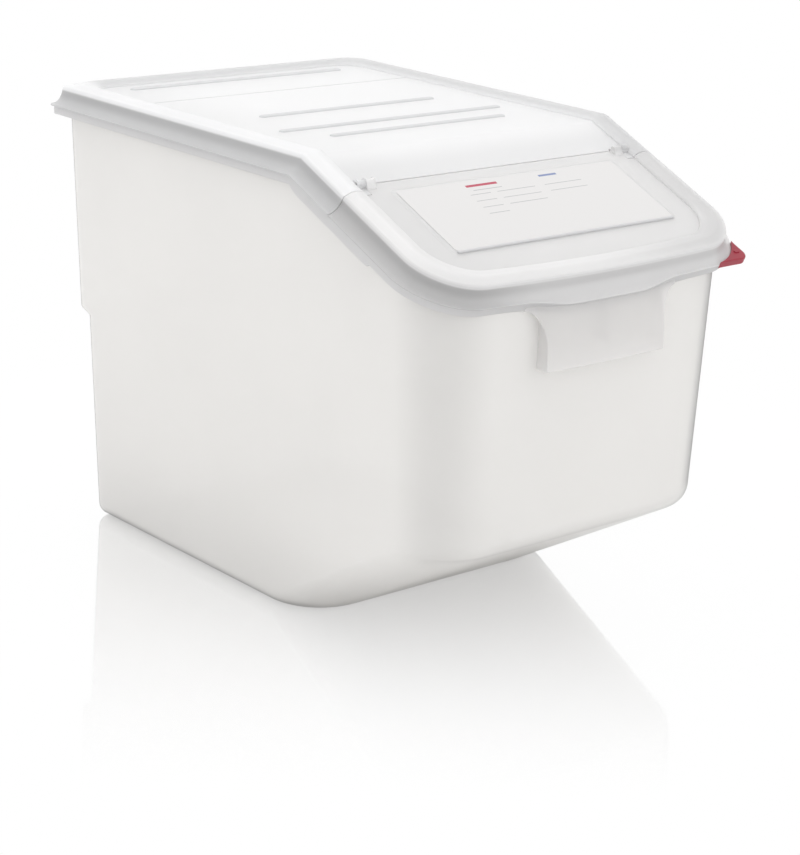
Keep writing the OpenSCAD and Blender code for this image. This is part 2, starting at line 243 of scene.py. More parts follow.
def through_light(material, shader, colour, glow, clear, edges):
    """Lets light through thin plastic: glow is the scattered share, clear the straight
    one, and edges says where the way through becomes too long for straight light."""
    tree = material.node_tree
    start = Wire(tree)
    scattered = start.node("ShaderNodeBsdfTranslucent", None, {"Color": colour})
    straight = start.node("ShaderNodeBsdfTransparent", None, {"Color": grey(1.0)})
    absorbed = start.node("ShaderNodeBsdfDiffuse", None, {"Color": grey(0.22)})
    milky = start.node(
        "ShaderNodeMixShader", None, {0: glow, 1: Wire(tree, shader.outputs[0]), 2: scattered}
    )
    edge_on = start.node("ShaderNodeLayerWeight", None, {"Blend": 0.5}, output=1)
    from_edge, to_edge, where = edges
    long_way = soft_step(edge_on, from_edge, to_edge) * where
    beyond = start.node("ShaderNodeMixShader", None, {0: long_way, 1: straight, 2: absorbed})
    share = clear + 0.4 * long_way
    whole = start.node("ShaderNodeMixShader", None, {0: share, 1: milky, 2: beyond})
    output = next(n for n in tree.nodes if n.type == "OUTPUT_MATERIAL")
    tree.links.new(whole.socket, output.inputs["Surface"])


# %% [markdown]
# ## The frosted plastic of the body
# The real walls are polypropylene about 3 mm thick with a fine matt texture.
# A glass shader would show what is behind the wall too clearly, and a plain
# white one would look like paint. A satin surface with a share of Translucent
# light gives the milky glow, and a share of straight light shows what is behind.
# Seen edge on, light has a long way through the wall, so the straight share dies
# away there. Faint cloudy bands stand for the flow of the melt.


# %% Frosted finishes
def tinted(colour, share):
    return tuple(min(1.0, c * share) for c in colour[:3]) + (1.0,)


def frosted_finish(name, tint, gloss, glow, clear, shaded=None, edges=(0.93, 1.0), thin=None):
    """shaded gives, from the place, how much painted shade a point gets, and thin how much painted
    light takes the dark edges away there, 0 to 1.
    """
    material, shader, place = new_finish(name, {"IOR": 1.49, "Specular IOR Level": 0.5})
    cloud = noise(place, 9.0, 2.0)
    grain = noise(place, 900.0, 2.0)
    colour = blend_colours(tinted(tint, 0.97), tinted(tint, 1.02), cloud)
    # Painted shade: the colour darkens towards 45 % of the tint where shaded is 1.
    if shaded:
        colour = blend_colours(colour, tinted(tint, 0.45), shaded(place))
    colour.feed(shader.inputs["Base Color"], colour)
    rough = gloss + cloud * 0.06
    rough.feed(shader.inputs["Roughness"], rough)
    bump = place.node(
        "ShaderNodeBump", None, {"Strength": 0.05, "Distance": 0.0002, "Height": grain}
    )
    bump.feed(shader.inputs["Normal"], bump)
    # Painted light: where thin is 1, the dark edges seen edge on are taken away.
    where = 1 - thin(place) if thin else 1.0
    through_light(material, shader, tint, glow, clear, (*edges, where))
    return material


def axes(place):
    return [place.node("ShaderNodeSeparateXYZ", None, {0: place}, output=i) for i in range(3)]


def painted_corner_and_foot_shade(place):
    """Painted shade at the front corners of the body and towards its foot."""
    x, y, z = axes(place)
    corner = soft_step(abs(x), 0.118, 0.165) * soft_step(-1 * y, 0.215, 0.262)
    foot = 1 - soft_step(z, 0.0, 0.11)
    return (corner * 0.20 + foot * 0.15).at_most(1.0)


def underside(place):
    """Painted light on the sloping underside, as if light reached it from below."""
    x, y, z = axes(place)
    return (1 - soft_step(z, 0.10, 0.14)) * soft_step(-1 * y, 0.05, 0.10)


def height_above_rail(place):
    """Distance out of the bent sheet, above the edge of the rail."""
    x, y, z = axes(place)
    up = z - rail_z
    return up.at_least(up * math.cos(slope) - (y - bend_y) * math.sin(slope))


def cove_shade(x, height):
    """Painted shade right under the edge of the rail, most on the left, and lighter to the lip."""
    below = -1 * height
    deep = 0.88 - 0.42 * soft_step(x, -0.16, -0.07)
    return soft_step(below, 0.002, 0.0045) * (deep - 0.26 * soft_step(below, 0.007, 0.014))


groove_y = 0.1811


def lid_painted_shade(place):
    """Painted shade of the rear lid: in the cove, on the bead except at the far left, on the
    sloping panel below the bend and in the thin groove line. The rim lies under the bead.
    """
    x, y, z = axes(place)
    height = height_above_rail(place)
    bead = soft_step(height, -0.0012, 0.0026) * (0.05 + 0.47 * soft_step(x, -0.172, -0.15))
    strip = soft_step(bend_y - y, 0.0, 0.03) * (1 - soft_step(height, -0.0012, 0.0))
    on_panel = 1 - soft_step(abs(x), 0.163, 0.165)
    line = (1 - soft_step(abs(y - groove_y), 0.0008, 0.0014)) * on_panel
    return cove_shade(x, height).at_least(bead).at_least(line * 0.6).at_least(strip * 0.2)


def flap_painted_shade(place):
    """Painted shade of the flap: in the cove, on the bead more towards the right, and on the panel,
    standing for the dim inside seen through the thin panel.
    """
    x, y, z = axes(place)
    height = height_above_rail(place)
    bead = soft_step(height, -0.0012, 0.0026) * 0.36 * soft_step(x, -0.05, 0.16)
    panel = soft_step(height, -0.0028, -0.0023) * (1 - soft_step(height, -0.0016, -0.0004))
    return cove_shade(x, height).at_least(bead).at_least(panel * 0.14)


wall_edges = (0.55, 0.92)
# The wall gets painted shade at its front corners and foot, and painted light on its sloping
# underside.
body_finish = frosted_finish(
    "frosted wall", (0.97, 0.96, 0.945, 1.0), 0.38, 0.3, 0.3, painted_corner_and_foot_shade, wall_edges, underside
)
# The rim, the handle and the ribs are darker copies of the same plastic: painted shade on the rim
# and the handle, which stand in front of a second layer, and on the ribs, whose flanks fall in
# shade.
rim_finish = frosted_finish("frosted rim", (0.76, 0.755, 0.76, 1.0), 0.34, 0.3, 0.2)
pull_finish = frosted_finish("frosted handle", (0.88, 0.87, 0.865, 1.0), 0.34, 0.3, 0.5)
lid_finish = frosted_finish("frosted lid", (0.96, 0.96, 0.965, 1.0), 0.28, 0.25, 0.15, lid_painted_shade)
flap_finish = frosted_finish("clear flap", (0.93, 0.925, 0.925, 1.0), 0.26, 0.25, 0.25, flap_painted_shade)
rib_finish = frosted_finish("frosted ribs", (0.74, 0.74, 0.75, 1.0), 0.35, 0.2, 0.1)

# %% [markdown]
# ## The label and the clip
# The label is a thin matt film with a few plain rules to write on and two short
# coloured bars. The marks are drawn in the label's own directions: x across and
# s down the slope. The clip is a satin crimson moulding.


# %% Marks on the label
label_s = 0.067


def mark(x, s, x_span, s_span):
    """1 inside a rectangle given by its spans across and down the slope."""
    masks = []
    for value, (low, high) in ((x, x_span), (s, s_span)):
        off_middle = abs(value - (low + high) / 2)
        masks.append(value.sum("LESS_THAN", off_middle, (high - low) / 2))
    return masks[0] * masks[1]


def label_colour(place):
    x, y, z = axes(place)
    s = (y - bend_y) * (-1 * math.cos(slope)) - (z - rail_z) * math.sin(slope)
    down = s - label_s
    bar = mark(x, down, (-0.056, -0.019), (0.006, 0.0092))
    second = mark(x, down, (0.033, 0.055), (0.0055, 0.0082))
    rules = mark(x, down, (-0.052, -0.018), (0.014, 0.0148))
    for column, rows in (((-0.060, -0.036), 4), ((-0.028, 0.018), 3), ((0.030, 0.076), 2)):
        for row in range(rows):
            at = 0.020 + 0.0095 * row
            rules = rules.at_least(mark(x, down, column, (at, at + 0.0007)))
    film = (0.66, 0.65, 0.645, 1.0)
    colour = blend_colours(film, (0.38, 0.38, 0.39, 1.0), rules)
    colour = blend_colours(colour, (0.45, 0.07, 0.11, 1.0), bar)
    return blend_colours(colour, (0.20, 0.25, 0.42, 1.0), second)


# %% Finishes of the label and the clip
label_finish, label_shader, label_place = new_finish("label film", {"IOR": 1.46})
label_ink = label_colour(label_place)
label_ink.feed(label_shader.inputs["Base Color"], label_ink)
label_rough = 0.45 + noise(label_place, 40.0) * 0.1
label_rough.feed(label_shader.inputs["Roughness"], label_rough)
label_fibre = label_place.node(
    "ShaderNodeBump",
    None,
    {"Strength": 0.08, "Distance": 0.0002, "Height": noise(label_place, 700.0)},
)
label_fibre.feed(label_shader.inputs["Normal"], label_fibre)

clip_finish, clip_shader, clip_place = new_finish("crimson plastic", {"IOR": 1.5})
clip_cloud = noise(clip_place, 60.0)
clip_colour = blend_colours((0.26, 0.004, 0.020, 1.0), (0.33, 0.006, 0.028, 1.0), clip_cloud)
clip_colour.feed(clip_shader.inputs["Base Color"], clip_colour)
clip_rough = 0.3 + clip_cloud * 0.08
clip_rough.feed(clip_shader.inputs["Roughness"], clip_rough)

finishes = {
    "bin_body": body_finish,
    "rear_lid": lid_finish,
    "front_flap": flap_finish,
    "label_sheet": label_finish,
    "colour_clip": clip_finish,
}
for name, finish in finishes.items():
    nodes[name].data.materials.clear()
    nodes[name].data.materials.append(finish)
    print(name, "is finished in", finish.name)

# %% Bending the flat sheet
def fold(x, v, n):
    """Points of the bent sheet; at v = 0 the two halves meet in a mitre."""
    x, v, n = np.broadcast_arrays(x, v, n)
    flat = np.stack([x, bend_y + v, rail_z + n], -1)
    down_y = bend_y + v * math.cos(slope) - n * math.sin(slope)
    down_z = rail_z + v * math.sin(slope) + n * math.cos(slope)
    down = np.stack([x, down_y, down_z], -1)
    mitre = np.stack([x, bend_y - n * math.tan(slope / 2), rail_z + n], -1)
    at_bend = np.abs(v) < 1e-5
    return np.where(at_bend[..., None], mitre, np.where((v > 0)[..., None], flat, down))


def thumb(x):
    """1 over the thumb tab, fading to 0 at both sides."""
    fade = np.clip((np.abs(x) - thumb_half) / thumb_run, 0, 1)
    return (1 + np.cos(np.pi * fade)) / 2


# %% [markdown]
# ## Rings
# Every line of the rail's profile runs round the lid as a ring: a rounded
# rectangle, bowed at the front. A ring is given by w, how far it lies outside
# the edge of the rail, and its height n. Stacking rings gives the rail.


# %% One ring round the lid
def arc(cx, cy, radius, start, steps):
    turns = np.radians(start + np.linspace(0, 90, steps + 1))
    return np.stack([cx + radius * np.cos(turns), cy + radius * np.sin(turns)], -1)


class Ring:
    """A line of the profile carried round the rail."""

    def __init__(self, w, n, tab=0.0, back=None, front=None, back_r=None):
        self.n = n
        self.tab = tab
        self.half = rail_half + w
        reach = end_share * w if w > 0 else w * border_end / border_w
        self.back = rear_y - bend_y + (reach if back is None else back)
        self.front = slope_l + (reach if front is None else front)
        self.back_r = 4 * mm + 6 * mm * max(w, 0) / cove_out
        if w < -1 * mm:
            inner_r = bead_r + 0.3 * (w + 5 * mm)
            share = min(1.0, (-w - 1 * mm) / (10 * mm))
            self.back_r += (inner_r - self.back_r) * share
        if back_r is not None:
            self.back_r = back_r
        self.front_r = rail_r + (end_share if w > 0 else 0.5) * w

    def share(self, v):
        """How much of the bow a point at v takes: none at the sides, all in front."""
        return np.clip((-v - (self.front - self.front_r)) / self.front_r, 0, 1)

    def bowed(self, line):
        x, v = line[:, 0], line[:, 1]
        out = bow * (1 - (x / self.half) ** 2) + self.tab * tab_out * thumb(x)
        return np.stack([x, v - self.share(v) * out], -1)

    def side(self, stations):
        return np.stack([np.full(len(stations), -self.half), stations], -1)

    def rear_half(self, stations):
        """Left side, going back, then to the middle of the back edge."""
        corner = arc(-self.half + self.back_r, self.back - self.back_r, self.back_r, 90, 12)[::-1]
        across = np.linspace(corner[-1, 0], 0, 10)[1:]
        edge = np.stack([across, np.full(len(across), self.back)], -1)
        return np.concatenate([self.side(stations), corner, edge])

    def front_half(self, stations):
        """Left side, going forward, then to the middle of the front edge."""
        corner = arc(-self.half + self.front_r, -self.front + self.front_r, self.front_r, 180, 28)
        across = np.linspace(corner[-1, 0], 0, 30)[1:]
        edge = np.stack([across, np.full(len(across), -self.front)], -1)
        return np.concatenate([self.side(stations), corner, edge])

    def loop(self, stations):
        """The whole ring, from the left end of the back edge round to the right."""
        rear = arc(-self.half + self.back_r, self.back - self.back_r, self.back_r, 90, 12)
        ahead = self.front_half(stations)
        left = np.concatenate([rear, ahead])
        return self.both(left)

    def both(self, half):
        other = half[:-1][::-1] * np.array([-1, 1])
        return self.bowed(np.concatenate([half, other]))

    def lifted(self, line, lower=None):
        x, v = line[:, 0], line[:, 1]
        share = self.share(v)
        height = self.n - self.tab * tab_drop * thumb(x) * (share > 0) * share
        return fold(x, v, height if lower is None else lower(x, v, share, height))


# %% [markdown]
# ## The profile of the rail
# From the panel outwards: a rounded bead, a flat strip, a softly rounded edge,
# the hollow cove, the thin lip, and back along the underside. The real moulding
# has no sharp edge, so each corner gets a few short steps.


# %% Profile as (w, n, share of the thumb tab)
bead_in = -border_w
crest = -11 * mm
shoulder_r = 2.2 * mm


def bead_profile(inset, below, steps=14):
    """Steep on the inner side, and a long soft fall to the shoulder outside."""
    rows = []
    for a in np.linspace(0, np.pi / 2, steps + 1):
        w = crest + inset - (crest + inset - bead_in - inset) * np.cos(a)
        rows.append((w, -panel_drop + (bead_h + panel_drop) * np.sin(a) ** 0.8 - below, 0.0))
    reach = -shoulder_r - crest
    for share in np.linspace(0, 1, steps + 1)[1:]:
        fall = bead_h * (1 - np.cos(np.pi / 2 * share) ** 1.2) * 0.8
        rows.append((crest + reach * share - inset * share, bead_h - fall - below, 0.0))
    return rows


def cove_profile(inset, degrees):
    rows = []
    for t in np.radians(degrees):
        w = cove_out * (1 - np.cos(t)) - inset * np.cos(t)
        n = -cove_drop * np.sin(t) - inset * np.sin(t)
        rows.append((w, n, max(0.0, (np.degrees(t) - 40) / 50)))
    return rows


def corner_profile(cw, cn, radius, start, end, tab, steps=4):
    turns = np.radians(np.linspace(start, end, steps + 1))
    return [(cw + radius * np.cos(a), cn + radius * np.sin(a), tab) for a in turns]


lip_r = 0.5 * mm
shoulder_n = 0.2 * bead_h
shoulder = [
    (-shoulder_r * (1 - np.sin(a)), shoulder_n - (shoulder_n + shoulder_r) * (1 - np.cos(a)), 0.0)
    for a in np.radians((18, 36, 54, 72, 90))
]
rail_profile = (
    bead_profile(0, 0)
    + shoulder
    + cove_profile(0, np.linspace(12, 90, 15))[:-1]
    + corner_profile(cove_out - lip_r, -cove_drop - lip_r, lip_r, 80, 0, 1.0, 3)
    + corner_profile(cove_out - lip_r, lip_n + lip_r, lip_r, 0, -90, 1.0, 3)
    + [(cove_out - lip_t, lip_n, 1.0)]
    + cove_profile(skin, np.linspace(78, 6, 13))
    + [(-skin, -skin, 0.0)]
    + bead_profile(0.9 * skin, skin)[::-1]
)
rail_rings = [Ring(w, n, tab) for w, n, tab in rail_profile]
print("rail profile of", len(rail_rings), "points")


# %% [markdown]
# ## Collecting faces
# A moulding is made as one closed shell: grids of faces for the swept parts and
# single faces for flat panels. The collector only gathers points. Points that
# fall together are merged at the end, and the normals are turned outward.


class Shell:
    """Points and faces of one closed surface."""

    def __init__(self):
        self.points = []
        self.faces = []

    def face(self, corners):
        first = len(self.points)
        self.points.extend([float(c) for c in corner] for corner in corners)
        self.faces.append(range(first, len(self.points)))

    def grid(self, rows, round_rows=False, round_columns=False):
        rows = np.asarray(rows)
        count, width = rows.shape[:2]
        first = len(self.points)
        self.points.extend(rows.reshape(-1, 3).tolist())
        for i in range(count if round_rows else count - 1):
            for j in range(width if round_columns else width - 1):
                a, b = i * width, (i + 1) % count * width
                k = (j + 1) % width
                self.faces.append([first + a + j, first + a + k, first + b + k, first + b + j])

    def prism(self, outline, shift):
        """A straight block between a flat outline and its copy moved by shift."""
        outline = np.asarray(outline, dtype=float)
        moved = outline + np.asarray(shift)
        self.face(outline)
        self.face(moved)
        self.grid([outline, moved], round_columns=True)


def make_piece(name, shell, finish, body, node, crease=32.0, bevel=0.0):
    mesh = bpy.data.meshes.new(name)
    mesh.from_pydata(shell.points, [], [list(f) for f in shell.faces])
    work = bmesh.new()
    work.from_mesh(mesh)
    bmesh.ops.remove_doubles(work, verts=work.verts, dist=1e-6)
    bmesh.ops.dissolve_degenerate(work, edges=work.edges, dist=1e-7)
    bmesh.ops.recalc_face_normals(work, faces=work.faces)
    open_edges = sum(1 for edge in work.edges if len(edge.link_faces) != 2)
    work.to_mesh(mesh)
    work.free()
    mesh.shade_smooth()
    mesh.set_sharp_from_angle(angle=math.radians(crease))
    piece = bpy.data.objects.new(name, mesh)
    bpy.context.scene.collection.objects.link(piece)
    if bevel:
        rounding = piece.modifiers.new("rounding", "BEVEL")
        rounding.width = bevel
        rounding.segments = 3
        rounding.limit_method = "ANGLE"
        rounding.angle_limit = math.radians(40)
        rounding.harden_normals = True
    weighted = piece.modifiers.new("flat panels stay flat", "WEIGHTED_NORMAL")
    weighted.keep_sharp = True
    mesh.materials.append(finish)
    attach(piece, body)
    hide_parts(node)
    print(name, len(mesh.polygons), "faces,", open_edges, "open edges")
    return piece


# %% [markdown]
# ## The rear lid
# The rail runs from the left split round the back to the right split. Panels
# close it above and below. They stop at the hinge line, with a notch at each
# side for the knuckles of the flap. A thin groove crosses the flat top.

# %% Rear lid: rail and panels
panel_end = hinge_s - 2.4 * mm
rail_end = hinge_s + 13 * mm
lug_x = 157 * mm
side_gap = 0.4 * mm
knuckle_w = 10 * mm
near_bend = 6 * mm
line_v = 180 * mm - bend_y
line_w = 2.2 * mm
line_d = 0.9 * mm
bend_at = 4
on_slope = [-rail_end, -rail_end / 2, -rail_end / 5, -near_bend]
on_top = [near_bend, line_v / 3, line_v, line_v + line_w]
lid_stations = np.array([*on_slope, 0, *on_top])
line_at = 7


def open_rail(halves):
    return [ring.lifted(ring.both(half)) for ring, half in zip(rail_rings, halves)]


def edge_chain(points, height):
    return [fold(x, v, height) for x, v in points]


lid_rows = open_rail([ring.rear_half(lid_stations) for ring in rail_rings])
notch_x = lug_x - side_gap / 4
notch_in = lug_x - knuckle_w - 1 * mm
notch_s = hinge_s - 5 * mm
left_edge = [
    (-notch_x, -rail_end), (-notch_x, -notch_s), (-notch_in, -notch_s), (-notch_in, -panel_end)
]
lid_edge = left_edge + [(-x, v) for x, v in left_edge[::-1]]
lid_shell = Shell()
lid_shell.grid(lid_rows)
edge_top = edge_chain(lid_edge, -panel_drop)
edge_under = edge_chain(lid_edge, -panel_drop - skin)
lid_shell.grid([edge_top, edge_under])
for end, corner in ((0, 0), (-1, -1)):
    lid_shell.face([row[end] for row in lid_rows] + [edge_under[corner], edge_top[corner]])


top = lid_rows[0]
under = lid_rows[-1]
last = len(top) - 1


def across(row, first, second):
    """The part of a panel between two stations of the sides."""
    return [*row[first : second + 1], *row[last - second : last - first + 1]]


for row, edge in ((top, edge_top), (under, edge_under)):
    lid_shell.face([*across(row, 0, bend_at - 1), *edge[::-1]])
    lid_shell.face(across(row, bend_at - 1, bend_at))
    lid_shell.face(across(row, bend_at, bend_at + 1))
lid_shell.face(under[bend_at + 1 : last - bend_at])
lid_shell.face(across(top, bend_at + 1, line_at))
lid_shell.face(top[line_at + 1 : last - line_at])
low = np.array([0, 0, -line_d])
groove_left = (top[line_at] + top[line_at + 1]) / 2 + low
groove_right = (top[last - line_at] + top[last - line_at - 1]) / 2 + low
lid_shell.face([top[line_at], top[last - line_at], groove_right, groove_left])
lid_shell.face([groove_left, groove_right, top[last - line_at - 1], top[line_at + 1]])
lid_shell.face([top[line_at], groove_left, top[line_at + 1]])
lid_shell.face([top[last - line_at], top[last - line_at - 1], groove_right])
make_piece("lid_shell", lid_shell, lid_finish, "lid", "rear_lid")

# %% [markdown]
# ## Ribs
# Each rib is a low bar with round ends whose flanks run softly into the panel,
# so that it catches a narrow highlight. It is made as a small hill: rings of a
# stadium shape that shrink while they rise.


# %% Ribs of the lid
def stadium(length, width, steps=12):
    turns = np.radians(np.linspace(-90, 90, steps + 1))
    end_x = (length - width) / 2 + width / 2 * np.cos(turns)
    right_end = np.stack([end_x, width / 2 * np.sin(turns)], -1)
    return np.concatenate([right_end, -right_end])


def hill(shell, length, width, height, place, sunk=0.3 * mm, soft=3.6 * mm, steps=8):
    rows = []
    for a in np.linspace(0, np.pi / 2, steps + 1):
        drawn_in = 2 * soft * (1 - np.cos(a))
        outline = stadium(length - drawn_in, width - drawn_in)
        rise = height * np.sin(a)
        rows.append(place(outline[:, 0], outline[:, 1], rise))
    base = stadium(length, width)
    rows.insert(0, place(base[:, 0], base[:, 1], -sunk))
    shell.grid(rows, round_columns=True)
    shell.face(rows[0])
    shell.face(rows[-1])


rib_w = 8.6 * mm
rib_h = 1.8 * mm
ribs = Shell()
for rib_y, rib_l in ((253, 266), (72, 216), (4, 272), (-35, 214)):
    at = rib_y * mm
    hill(
        ribs, rib_l * mm, rib_w, rib_h,
        lambda x, y, z, at=at: np.stack([x, at + y, rail_z - panel_drop + z + 0 * x], -1),
    )
make_piece("lid_ribs", ribs, rib_finish, "lid", "rear_lid")

# %% [markdown]
# ## The hinge
# The flap turns on two stub pins moulded on its knuckles. Each pin sits in the
# bored eye of a lug on the lid. Eye and knuckle are round above and stand with
# a foot on the panel, so both are one outline carried along the hinge axis.


# %% Lugs, knuckles and pins
def at_hinge(x, back, up):
    return fold(x, -hinge_s + np.asarray(back), hinge_n + np.asarray(up))


foot_low = -panel_drop - hinge_n - 0.3 * mm
pin_r = 2.0 * mm
pin_play = 0.1 * mm
lug_r = 3.6 * mm
lug_t = 9 * mm
knuckle_r = 3.4 * mm
knuckle_foot = 7 * mm


def carried(shell, x0, x1, outline, soft, bore=0.0):
    """An outline round the axis carried along it, with soft end edges."""
    away = np.hypot(outline[:, 0], outline[:, 1])[:, None]
    rows = []
    for x, inset in ((x0, soft), (x0 + 0.3 * soft, 0.3 * soft), (x0 + soft, 0)):
        rows.append((x, outline * (1 - inset / away)))
    rows += [(x0 + x1 - x, line) for x, line in rows[::-1]]
    rows = [at_hinge(np.full(len(line), x), line[:, 0], line[:, 1]) for x, line in rows]
    if not bore:
        shell.face(rows[0])
        shell.face(rows[-1])
        shell.grid(rows, round_columns=True)
        return
    hole = outline / away * bore
    inner = [at_hinge(np.full(len(hole), x), hole[:, 0], hole[:, 1]) for x in (x1, x0)]
    shell.grid(rows + inner, round_rows=True, round_columns=True)


def circle(radius, start=0.0, end=2 * math.pi, steps=40):
    turns = np.linspace(start, end, steps)
    return np.stack([radius * np.cos(turns), radius * np.sin(turns)], -1)


pin_line = circle(pin_r)[:-1]
lug_line = np.concatenate([circle(lug_r, 0, math.pi), [(-lug_r, foot_low), (lug_r, foot_low)]])
knuckle_top = circle(knuckle_r, -1.4, math.radians(110))
knuckle_line = np.concatenate([knuckle_top, [(-knuckle_foot, foot_low)]])
lugs = Shell()
knuckles = Shell()
lug_soft, knuckle_soft, pin_soft = 1.0 * mm, 1.2 * mm, 0.4 * mm
pin_root, pin_reach = 2 * mm, 6.2 * mm
knuckle_at = lug_x - side_gap
for side in (-1, 1):
    lug_ends = (side * lug_x, side * (lug_x + lug_t))
    knuckle_ends = (side * (knuckle_at - knuckle_w), side * knuckle_at)
    pin_ends = (side * (lug_x - pin_root), side * (lug_x + pin_reach))
    carried(lugs, *lug_ends, lug_line, side * lug_soft, pin_r + pin_play)
    carried(knuckles, *knuckle_ends, knuckle_line, side * knuckle_soft)
    carried(knuckles, *pin_ends, pin_line, side * pin_soft)
make_piece("hinge_lugs", lugs, lid_finish, "lid", "rear_lid")
make_piece("hinge_knuckles", knuckles, flap_finish, "flap", "front_flap")

# %% [markdown]
# ## The front flap
# The same rail goes on down the slope, round the two big front corners and
# along the bowed front edge, where the lip swells into the thumb tab. The pad
# for the label stands a millimetre above the panel.

# %% Flap: rail, panel and label pad
flap_from = rail_end + 1.0 * mm
panel_from = panel_end + 1.6 * mm
panel_x = lug_x - side_gap - 0.1 * mm
flap_stations = -np.array([flap_from, 80 * mm, 110 * mm, 126 * mm])
flap_rows = open_rail([ring.front_half(flap_stations) for ring in rail_rings])
flap_shell = Shell()
flap_shell.grid(flap_rows)
flap_edge = [
    (-panel_x, -flap_from), (-panel_x, -panel_from), (panel_x, -panel_from), (panel_x, -flap_from)
]
edge_top = edge_chain(flap_edge, -panel_drop)
edge_under = edge_chain(flap_edge, -panel_drop - skin)
flap_shell.grid([edge_top, edge_under])
for end in (0, -1):
    flap_shell.face([row[end] for row in flap_rows] + [edge_under[end], edge_top[end]])
flap_shell.face([*flap_rows[0], *edge_top[::-1]])
flap_shell.face([*flap_rows[-1], *edge_under[::-1]])
make_piece("flap_shell", flap_shell, flap_finish, "flap", "front_flap")


def rounded_box(width, height, radius, steps=6):
    half_w, half_h = width / 2 - radius, height / 2 - radius
    corners = (
        (half_w, half_h, 0), (-half_w, half_h, 90), (-half_w, -half_h, 180), (half_w, -half_h, 270)
    )
    return np.concatenate([arc(cx, cy, radius, start, steps) for cx, cy, start in corners])


label_low, label_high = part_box("label_sheet")
label_w = label_high[0] - label_low[0]
label_h = 91 * mm
label_m = 1.5 * mm
pad_h = 1 * mm
pad = Shell()
pad_rows = []
for inset, height in ((-2.4, -0.3), (-2.0, 0.0), (-1.2, 0.3), (-0.4, 0.8), (0.2, 0.98), (0.8, 1.0)):
    edge = label_m - inset * mm
    outline = rounded_box(label_w + 2 * edge, label_h + 2 * edge, 4 * mm)
    down = outline[:, 1] - label_s - label_h / 2
    pad_rows.append(fold(outline[:, 0], down, height * mm - panel_drop))
pad.grid(pad_rows, round_columns=True)
pad.face(pad_rows[0])
pad.face(pad_rows[-1])
make_piece("label_pad", pad, flap_finish, "flap", "front_flap", crease=60)

# %% [markdown]
# A narrow bar along the lower edge of the label draws the line that shows there.

# %% Bar under the label
stop_bar = Shell()
stop_s = label_s + label_h + 1.6 * mm
hill(
    stop_bar, label_w, 3 * mm, 1.1 * mm,
    lambda x, y, z: fold(x, -stop_s + y, pad_h - panel_drop + z), sunk=0.6 * mm, soft=1.3 * mm,
)
make_piece("label_stop", stop_bar, rib_finish, "flap", "front_flap")

# %% [markdown]
# ## The body
# The body is drawn as a stack of level outlines, rounded rectangles that grow
# with height. Close levels round the edge of the floor and the bend between the
# sloping underside and the front wall, and the back steps out at one height.
# The top follows the bent sheet of the lid. A second stack, one wall further
# in, makes the inside.

# %% Body sizes
wall = 3 * mm
foot_half = 164.5 * mm
top_half = 187 * mm
floor_front = -91 * mm
front_y = -286 * mm
foot_z = 118 * mm
back_low = 270 * mm
back_high = 285 * mm
step_z = 217 * mm
step_rise = 8 * mm
front_r = 62 * mm
back_r = 11 * mm
floor_r = 13 * mm
foot_r = 20 * mm
draft = (top_half - foot_half) / (rail_z - 27 * mm)
ramp = math.atan2(foot_z, floor_front - front_y)
ledge_n = lip_n - 0.4 * mm
ledge_t = 2.5 * mm


# %% Body: outlines and walls
def level_line(z, front, back, inset):
    half = foot_half + draft * z - inset
    f = max(front_r - inset, 4 * mm)
    b = max(back_r - inset, 3 * mm)
    rear = back - inset
    side_from, side_to = rear - b, front + f
    bend_at_top = bend_y - ledge_n * math.tan(slope / 2)
    bend_share = (back_high - back_r - bend_at_top) / (back_high - back_r - front_y - front_r)
    shares = np.array([0.4, 0.97, 1.0, 1.03, 1.15]) * bend_share
    side = np.stack([np.full(len(shares), -half), side_from + (side_to - side_from) * shares], -1)
    left = np.concatenate([
        arc(-half + b, side_from, b, 90, 10),
        side,
        arc(-half + f, side_to, f, 180, 36),
    ])
    flat = np.concatenate([left, left[::-1] * np.array([-1, 1])])
    return np.column_stack([flat, np.full(len(flat), z)])


def body_levels(t):
    low_r = max(floor_r - t, 4 * mm)
    high_r = foot_r - t
    high_z = foot_z + 1.07 * t + high_r * math.tan((math.pi / 2 - ramp) / 2)
    turn_end = math.pi / 2 - ramp
    knee_y = front_y + t + high_r * (1 - math.cos(turn_end))
    knee_z = high_z - high_r * math.sin(turn_end)
    toe_y = floor_front + low_r * (1 - math.sin(ramp)) + 0.28 * t
    toe_z = t + low_r * (1 - math.cos(ramp))
    rows = []
    for a in np.linspace(0, math.pi / 2, 10):
        z = t + low_r * (1 - math.cos(a))
        drawn_in = low_r * (1 - math.sin(a))
        round_y = floor_front + drawn_in + 0.28 * t
        ramp_y = toe_y + (knee_y - toe_y) * (z - toe_z) / (knee_z - toe_z)
        rows.append(level_line(z, round_y if a < ramp else ramp_y, back_low, t + drawn_in))
    for a in np.linspace(turn_end, 0, 9):
        z = high_z - high_r * math.sin(a)
        rows.append(level_line(z, front_y + t + high_r * (1 - math.cos(a)), back_low, t))
    for share in np.linspace(0, 1, 9):
        soft = (1 - math.cos(math.pi * share)) / 2
        back = back_low + (back_high - back_low) * soft
        rows.append(level_line(step_z + 0.4 * t + step_rise * share, front_y + t, back, t))
    rows.append(level_line(rail_z + 20 * mm, front_y + t, back_high, t))
    return rows


def cut_top(rows, n):
    """Lowers the last row to the bent sheet at height n."""
    low_row = rows[-2]
    rise = rows[-1] - low_row
    flat_share = (rail_z + n - low_row[:, 2]) / rise[:, 2]
    slope_y = bend_y - n * math.tan(slope / 2)
    gap = rail_z + n + (low_row[:, 1] - slope_y) * math.tan(slope) - low_row[:, 2]
    slope_share = gap / (rise[:, 2] - rise[:, 1] * math.tan(slope))
    rows[-1] = low_row + rise * np.minimum(flat_share, slope_share)[:, None]
    return rows


